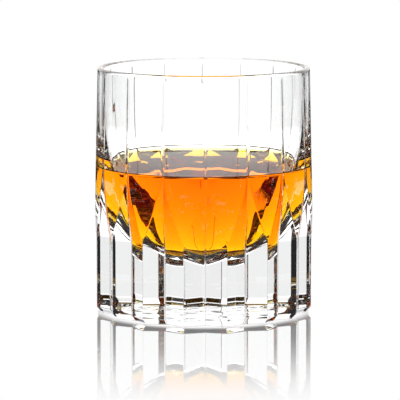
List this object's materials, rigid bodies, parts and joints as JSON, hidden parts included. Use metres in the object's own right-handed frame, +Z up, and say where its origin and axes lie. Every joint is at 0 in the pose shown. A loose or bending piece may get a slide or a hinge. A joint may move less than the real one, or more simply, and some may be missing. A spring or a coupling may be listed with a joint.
{
  "type": "whiskey tumbler",
  "caption": "Straight-sided cut-crystal tumbler with vertical mitre cuts, a plain lip, a thick solid base and a rounded bowl that holds a pour of whiskey.",
  "frame": {"origin": "centre of the foot, on the surface the tumbler stands on", "axes": "+Z up along the axis of the tumbler, -Y to the front, where one of the cuts faces"},
  "size_m": [0.0842, 0.0842, 0.095],
  "materials": {
    "crystal": "polished",
    "whiskey": "polished"
  },
  "bodies": {
    "root": {"glass_tumbler": "crystal", "whiskey": "whiskey"}
  },
  "joints": []
}
